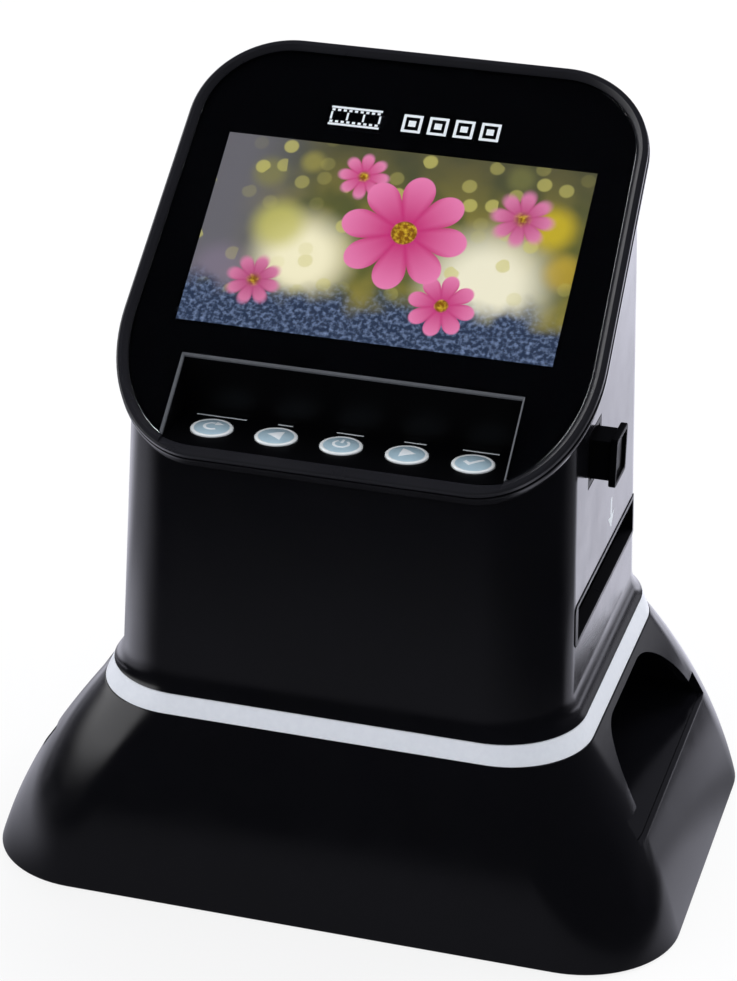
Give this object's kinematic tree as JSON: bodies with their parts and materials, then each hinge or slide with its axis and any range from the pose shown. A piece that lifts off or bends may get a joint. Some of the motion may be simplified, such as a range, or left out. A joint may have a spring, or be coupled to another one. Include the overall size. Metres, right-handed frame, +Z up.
{
  "type": "film negative scanner",
  "caption": "Desktop film and photo scanner: tapered tower on a flared base, tilted display head with a button bay, film slot, photo bay and push-pull lens selector.",
  "frame": {"origin": "middle of the footprint, on the plane that the rubber feet stand on", "axes": "+X to the operator's right, out of the side with the lens selector; +Y to the rear, out of the side with the sockets; +Z up"},
  "size_m": [0.2098, 0.1526, 0.23],
  "materials": {
    "black_gloss": "glossy black ABS moulding",
    "black_satin": "fine-textured black ABS moulding",
    "smoke_satin": "satin dark grey moulding",
    "band_white": "translucent milky moulding",
    "rubber": "soft matt rubber",
    "face_clear": "clear hard-coated acrylic",
    "mask_black": "black print behind the clear plate",
    "display": "lit liquid crystal panel",
    "frame_tin": "folded tinned steel",
    "button_silver": "silver lacquer on moulded caps",
    "board_green": "solder mask on glass-fibre board",
    "board_white": "white solder mask",
    "led": "phosphor-filled lamp package",
    "chip": "moulded epoxy",
    "steel": "ground and polished",
    "socket_steel": "stamped and plated",
    "screw": "black zinc plating",
    "glass_lens": "coated optical glass",
    "opal": "opal acrylic sheet",
    "white_inner": "white reflecting moulding",
    "sensor": "cover glass over silicon",
    "ribbon": "laminated polyester"
  },
  "bodies": {
    "scanner": {"base_shell": "black_gloss", "bottom_plate": "black_satin", "rubber_feet": "rubber", "light_band": "band_white", "tower_shell": "black_gloss", "head_housing": "black_gloss", "bezel_ring": "smoke_satin", "face_plate": "face_clear", "face_mask": "mask_black", "lcd_panel": "display", "lcd_frame": "frame_tin", "button_tray": "black_satin", "keypad_board": "board_green", "dome_switches": "socket_steel", "selector_guide": "black_gloss", "guide_rods": "steel", "optics_chassis": "black_satin", "camera_board": "board_green", "camera_barrel": "black_satin", "camera_lens": "glass_lens", "image_sensor": "sensor", "slot_trim_right": "black_satin", "slot_trim_left": "black_satin", "film_deck": "black_satin", "film_gate": "black_satin", "scan_chamber": "black_satin", "photo_led_boards": "board_white", "bay_sleeve_right": "black_gloss", "bay_sleeve_left": "black_gloss", "tray_floor": "black_gloss", "opal_diffuser": "opal", "light_box": "white_inner", "backlight_board": "board_white", "backlight_leds": "led", "main_board": "board_green", "board_chips": "chip", "ribbon_cable": "ribbon", "io_board": "board_green", "usb_socket": "socket_steel", "hdmi_socket": "socket_steel", "card_socket": "socket_steel", "case_screws": "screw", "board_screws": "screw"},
    "button_back_cap": {"button_back": "button_silver"},
    "button_left_cap": {"button_left": "button_silver"},
    "button_power_cap": {"button_power": "button_silver"},
    "button_right_cap": {"button_right": "button_silver"},
    "button_ok_cap": {"button_ok": "button_silver"},
    "selector": {"selector_knob": "black_gloss", "lens_carriage": "black_satin", "macro_lens": "glass_lens"}
  },
  "joints": [
    {"name": "button_back_press", "type": "slide", "parent": "scanner", "child": "button_back_cap", "axis": [0, 0, -1], "range_m": [0, 0.0008], "stiffness_N_per_m": 1500},
    {"name": "button_left_press", "type": "slide", "parent": "scanner", "child": "button_left_cap", "axis": [0, 0, -1], "range_m": [0, 0.0008], "stiffness_N_per_m": 1500},
    {"name": "button_power_press", "type": "slide", "parent": "scanner", "child": "button_power_cap", "axis": [0, 0, -1], "range_m": [0, 0.0008], "stiffness_N_per_m": 1500},
    {"name": "button_right_press", "type": "slide", "parent": "scanner", "child": "button_right_cap", "axis": [0, 0, -1], "range_m": [0, 0.0008], "stiffness_N_per_m": 1500},
    {"name": "button_ok_press", "type": "slide", "parent": "scanner", "child": "button_ok_cap", "axis": [0, 0, -1], "range_m": [0, 0.0008], "stiffness_N_per_m": 1500},
    {"name": "selector_push", "type": "slide", "parent": "scanner", "child": "selector", "axis": [1, 0, 0], "range_m": [-0.0053, 0]}
  ]
}
